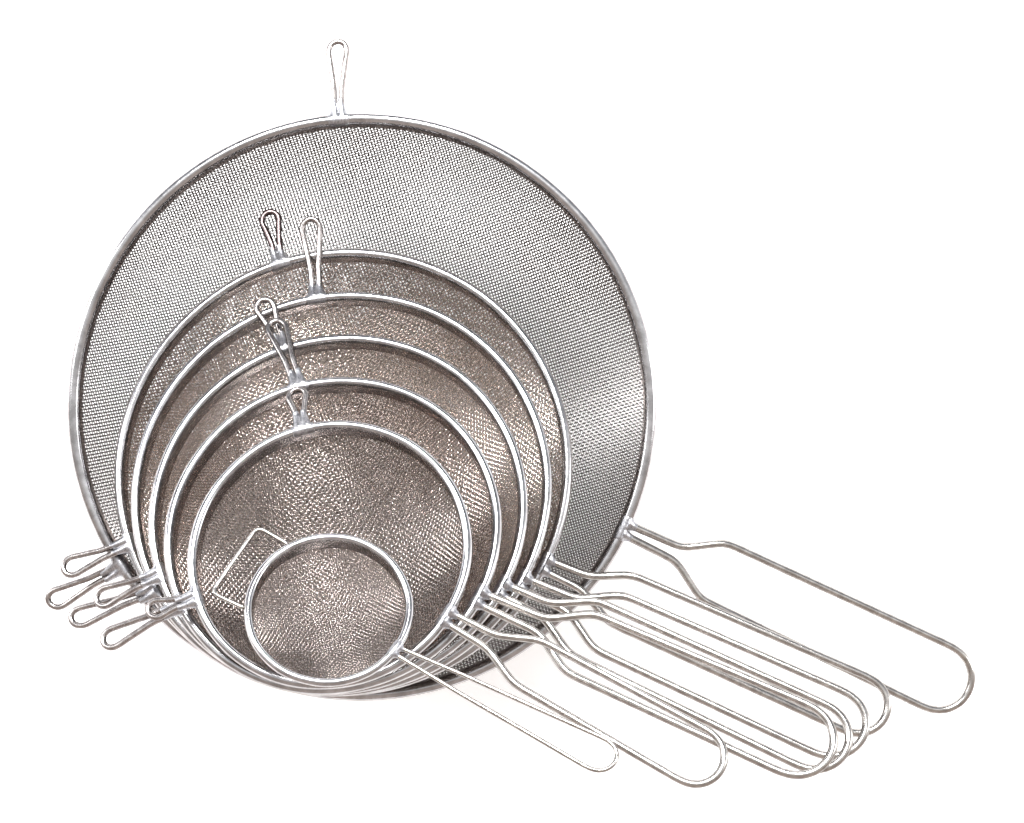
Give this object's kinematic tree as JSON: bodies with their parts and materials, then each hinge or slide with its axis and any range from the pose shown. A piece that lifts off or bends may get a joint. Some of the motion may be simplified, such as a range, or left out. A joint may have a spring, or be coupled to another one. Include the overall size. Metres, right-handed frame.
{
  "type": "nest of mesh strainers",
  "caption": "Graduated set of round wire-mesh strainers stacked in the largest one, each with a rolled rim, a long bent-wire loop handle and wire rest hooks opposite it.",
  "frame": {"origin": "on the flat foot of the largest bowl, on that bowl's axis", "axes": "+Z is the largest bowl's axis, mouth up; +X runs along its handle; +Y completes a right-handed frame, and the nested strainers crowd towards -Y"},
  "size_m": [0.4951, 0.3277, 0.2339],
  "materials": {
    "rim_sheet": "polished rolled sheet, bright highlights",
    "core_wire": "plain drawn wire",
    "fine_cloth": "fine plain-woven wire",
    "support_cloth": "coarser plain-woven wire",
    "handle_wire": "bright drawn wire",
    "hook_wire": "bright drawn wire"
  },
  "bodies": {
    "strainer_1": {"rim_1": "rim_sheet", "rim_wire_1": "core_wire", "mesh_1": "fine_cloth", "handle_1": "handle_wire", "hook_back_1": "hook_wire", "hook_front_1": "hook_wire"},
    "strainer_2": {"rim_2": "rim_sheet", "rim_wire_2": "core_wire", "mesh_2": "fine_cloth", "support_mesh_2": "support_cloth", "handle_2": "handle_wire", "hook_back_2": "hook_wire", "hook_front_2": "hook_wire"},
    "strainer_3": {"rim_3": "rim_sheet", "rim_wire_3": "core_wire", "mesh_3": "fine_cloth", "support_mesh_3": "support_cloth", "handle_3": "handle_wire", "hook_back_3": "hook_wire", "hook_front_3": "hook_wire"},
    "strainer_4": {"rim_4": "rim_sheet", "rim_wire_4": "core_wire", "mesh_4": "fine_cloth", "support_mesh_4": "support_cloth", "handle_4": "handle_wire", "hook_back_4": "hook_wire", "hook_front_4": "hook_wire"},
    "strainer_5": {"rim_5": "rim_sheet", "rim_wire_5": "core_wire", "mesh_5": "fine_cloth", "support_mesh_5": "support_cloth", "handle_5": "handle_wire", "hook_back_5": "hook_wire", "hook_front_5": "hook_wire"},
    "strainer_6": {"rim_6": "rim_sheet", "rim_wire_6": "core_wire", "mesh_6": "fine_cloth", "support_mesh_6": "support_cloth", "handle_6": "handle_wire", "hook_back_6": "hook_wire", "hook_front_6": "hook_wire"},
    "strainer_7": {"rim_7": "rim_sheet", "rim_wire_7": "core_wire", "mesh_7": "fine_cloth", "handle_7": "handle_wire", "bail_7": "hook_wire"}
  },
  "joints": [
    {"name": "lift_2", "type": "slide", "parent": "strainer_1", "child": "strainer_2", "axis": [-0.1322, 0.1692, 0.9767], "range_m": [0, 0.12]},
    {"name": "lift_3", "type": "slide", "parent": "strainer_2", "child": "strainer_3", "axis": [-0.1882, 0.2409, 0.9521], "range_m": [0, 0.1]},
    {"name": "lift_4", "type": "slide", "parent": "strainer_3", "child": "strainer_4", "axis": [-0.2186, 0.2798, 0.9348], "range_m": [0, 0.09]},
    {"name": "lift_5", "type": "slide", "parent": "strainer_4", "child": "strainer_5", "axis": [-0.2455, 0.3142, 0.9171], "range_m": [0, 0.08]},
    {"name": "lift_6", "type": "slide", "parent": "strainer_5", "child": "strainer_6", "axis": [-0.2455, 0.3142, 0.9171], "range_m": [0, 0.07]},
    {"name": "lift_7", "type": "slide", "parent": "strainer_6", "child": "strainer_7", "axis": [-0.1845, 0.4566, 0.8704], "range_m": [0, 0.05]}
  ]
}
